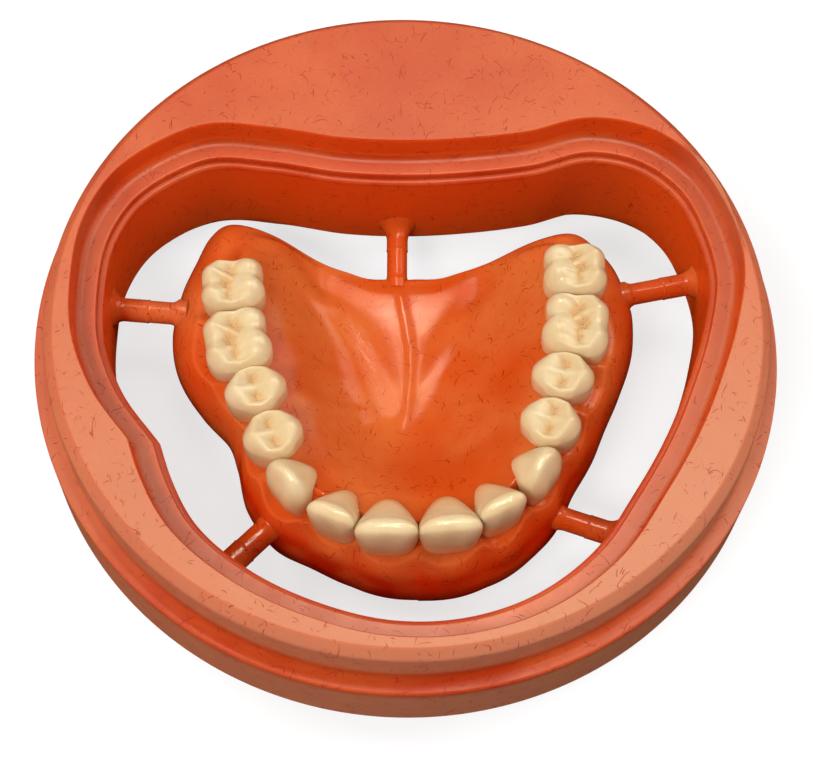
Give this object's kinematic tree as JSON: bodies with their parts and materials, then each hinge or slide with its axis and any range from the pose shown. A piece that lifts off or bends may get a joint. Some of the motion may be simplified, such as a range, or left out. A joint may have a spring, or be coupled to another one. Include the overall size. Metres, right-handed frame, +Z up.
{
  "type": "milled upper denture in milling disc",
  "caption": "Full upper denture with teeth, joined by connector bars to the flanged round acrylic disc that it was milled from.",
  "frame": {"origin": "middle of the disc's flat underside, on the axis of its clamping flange", "axes": "+Z up along the disc's axis, teeth up; +Y from the front teeth towards the back of the palate; +X to the right as seen from in front of the front teeth"},
  "size_m": [0.0984, 0.0984, 0.0254],
  "materials": {
    "ring_acrylic": "milled gum-pink acrylic, satin, with short dark red fibres",
    "base_acrylic": "glossy translucent gum-pink acrylic with short dark red fibres",
    "connector_acrylic": "milled gum-pink acrylic, satin",
    "tooth_acrylic": "glossy ivory tooth acrylic"
  },
  "bodies": {
    "root": {"disc_frame": "ring_acrylic", "denture_base": "base_acrylic", "tooth_left_central_incisor": "tooth_acrylic", "tooth_left_lateral_incisor": "tooth_acrylic", "tooth_left_canine": "tooth_acrylic", "tooth_left_first_premolar": "tooth_acrylic", "tooth_left_second_premolar": "tooth_acrylic", "tooth_left_first_molar": "tooth_acrylic", "tooth_left_second_molar": "tooth_acrylic", "tooth_right_central_incisor": "tooth_acrylic", "tooth_right_lateral_incisor": "tooth_acrylic", "tooth_right_canine": "tooth_acrylic", "tooth_right_first_premolar": "tooth_acrylic", "tooth_right_second_premolar": "tooth_acrylic", "tooth_right_first_molar": "tooth_acrylic", "tooth_right_second_molar": "tooth_acrylic", "connector_rear": "connector_acrylic", "connector_left": "connector_acrylic", "connector_right": "connector_acrylic", "connector_front_left": "connector_acrylic", "connector_front_right": "connector_acrylic"}
  },
  "joints": []
}
